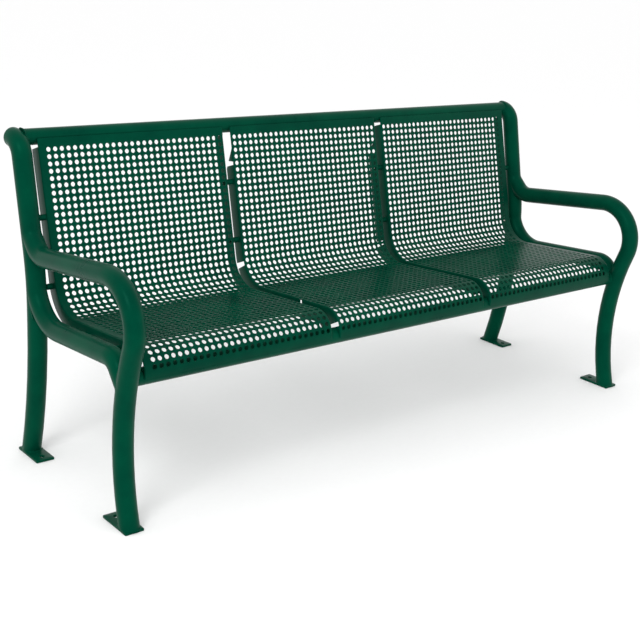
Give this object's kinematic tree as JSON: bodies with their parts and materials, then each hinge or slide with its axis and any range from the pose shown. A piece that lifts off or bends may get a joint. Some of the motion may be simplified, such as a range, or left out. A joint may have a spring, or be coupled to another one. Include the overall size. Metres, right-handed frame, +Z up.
{
  "type": "perforated metal park bench",
  "caption": "Park bench with back and two arm loops: bent-tube end frames, contoured perforated sheet panels, cross rails, bolt-down foot plates.",
  "frame": {"origin": "on the ground, under the centre of the bench's footprint", "axes": "+X along the length, to the sitter's left; +Y from front to back, so the sitter faces -Y; +Z up"},
  "size_m": [1.8508, 0.629, 0.8579],
  "materials": {
    "frame_coating": "glossy dark green coating on steel tube",
    "panel_coating": "glossy dark green thick coating on perforated steel sheet",
    "fasteners": "plain stainless steel"
  },
  "bodies": {
    "root": {"left_post": "frame_coating", "right_post": "frame_coating", "left_arm": "frame_coating", "right_arm": "frame_coating", "left_seat_rail": "frame_coating", "right_seat_rail": "frame_coating", "left_rear_foot": "frame_coating", "right_rear_foot": "frame_coating", "left_front_foot": "frame_coating", "right_front_foot": "frame_coating", "top_rail": "frame_coating", "front_rail": "frame_coating", "left_panel": "panel_coating", "middle_panel": "panel_coating", "right_panel": "panel_coating", "post_caps": "frame_coating", "frame_spacers": "frame_coating", "frame_bolts": "fasteners", "gap_spacers": "frame_coating", "gap_bolts": "fasteners", "gap_nuts": "fasteners"}
  },
  "joints": []
}
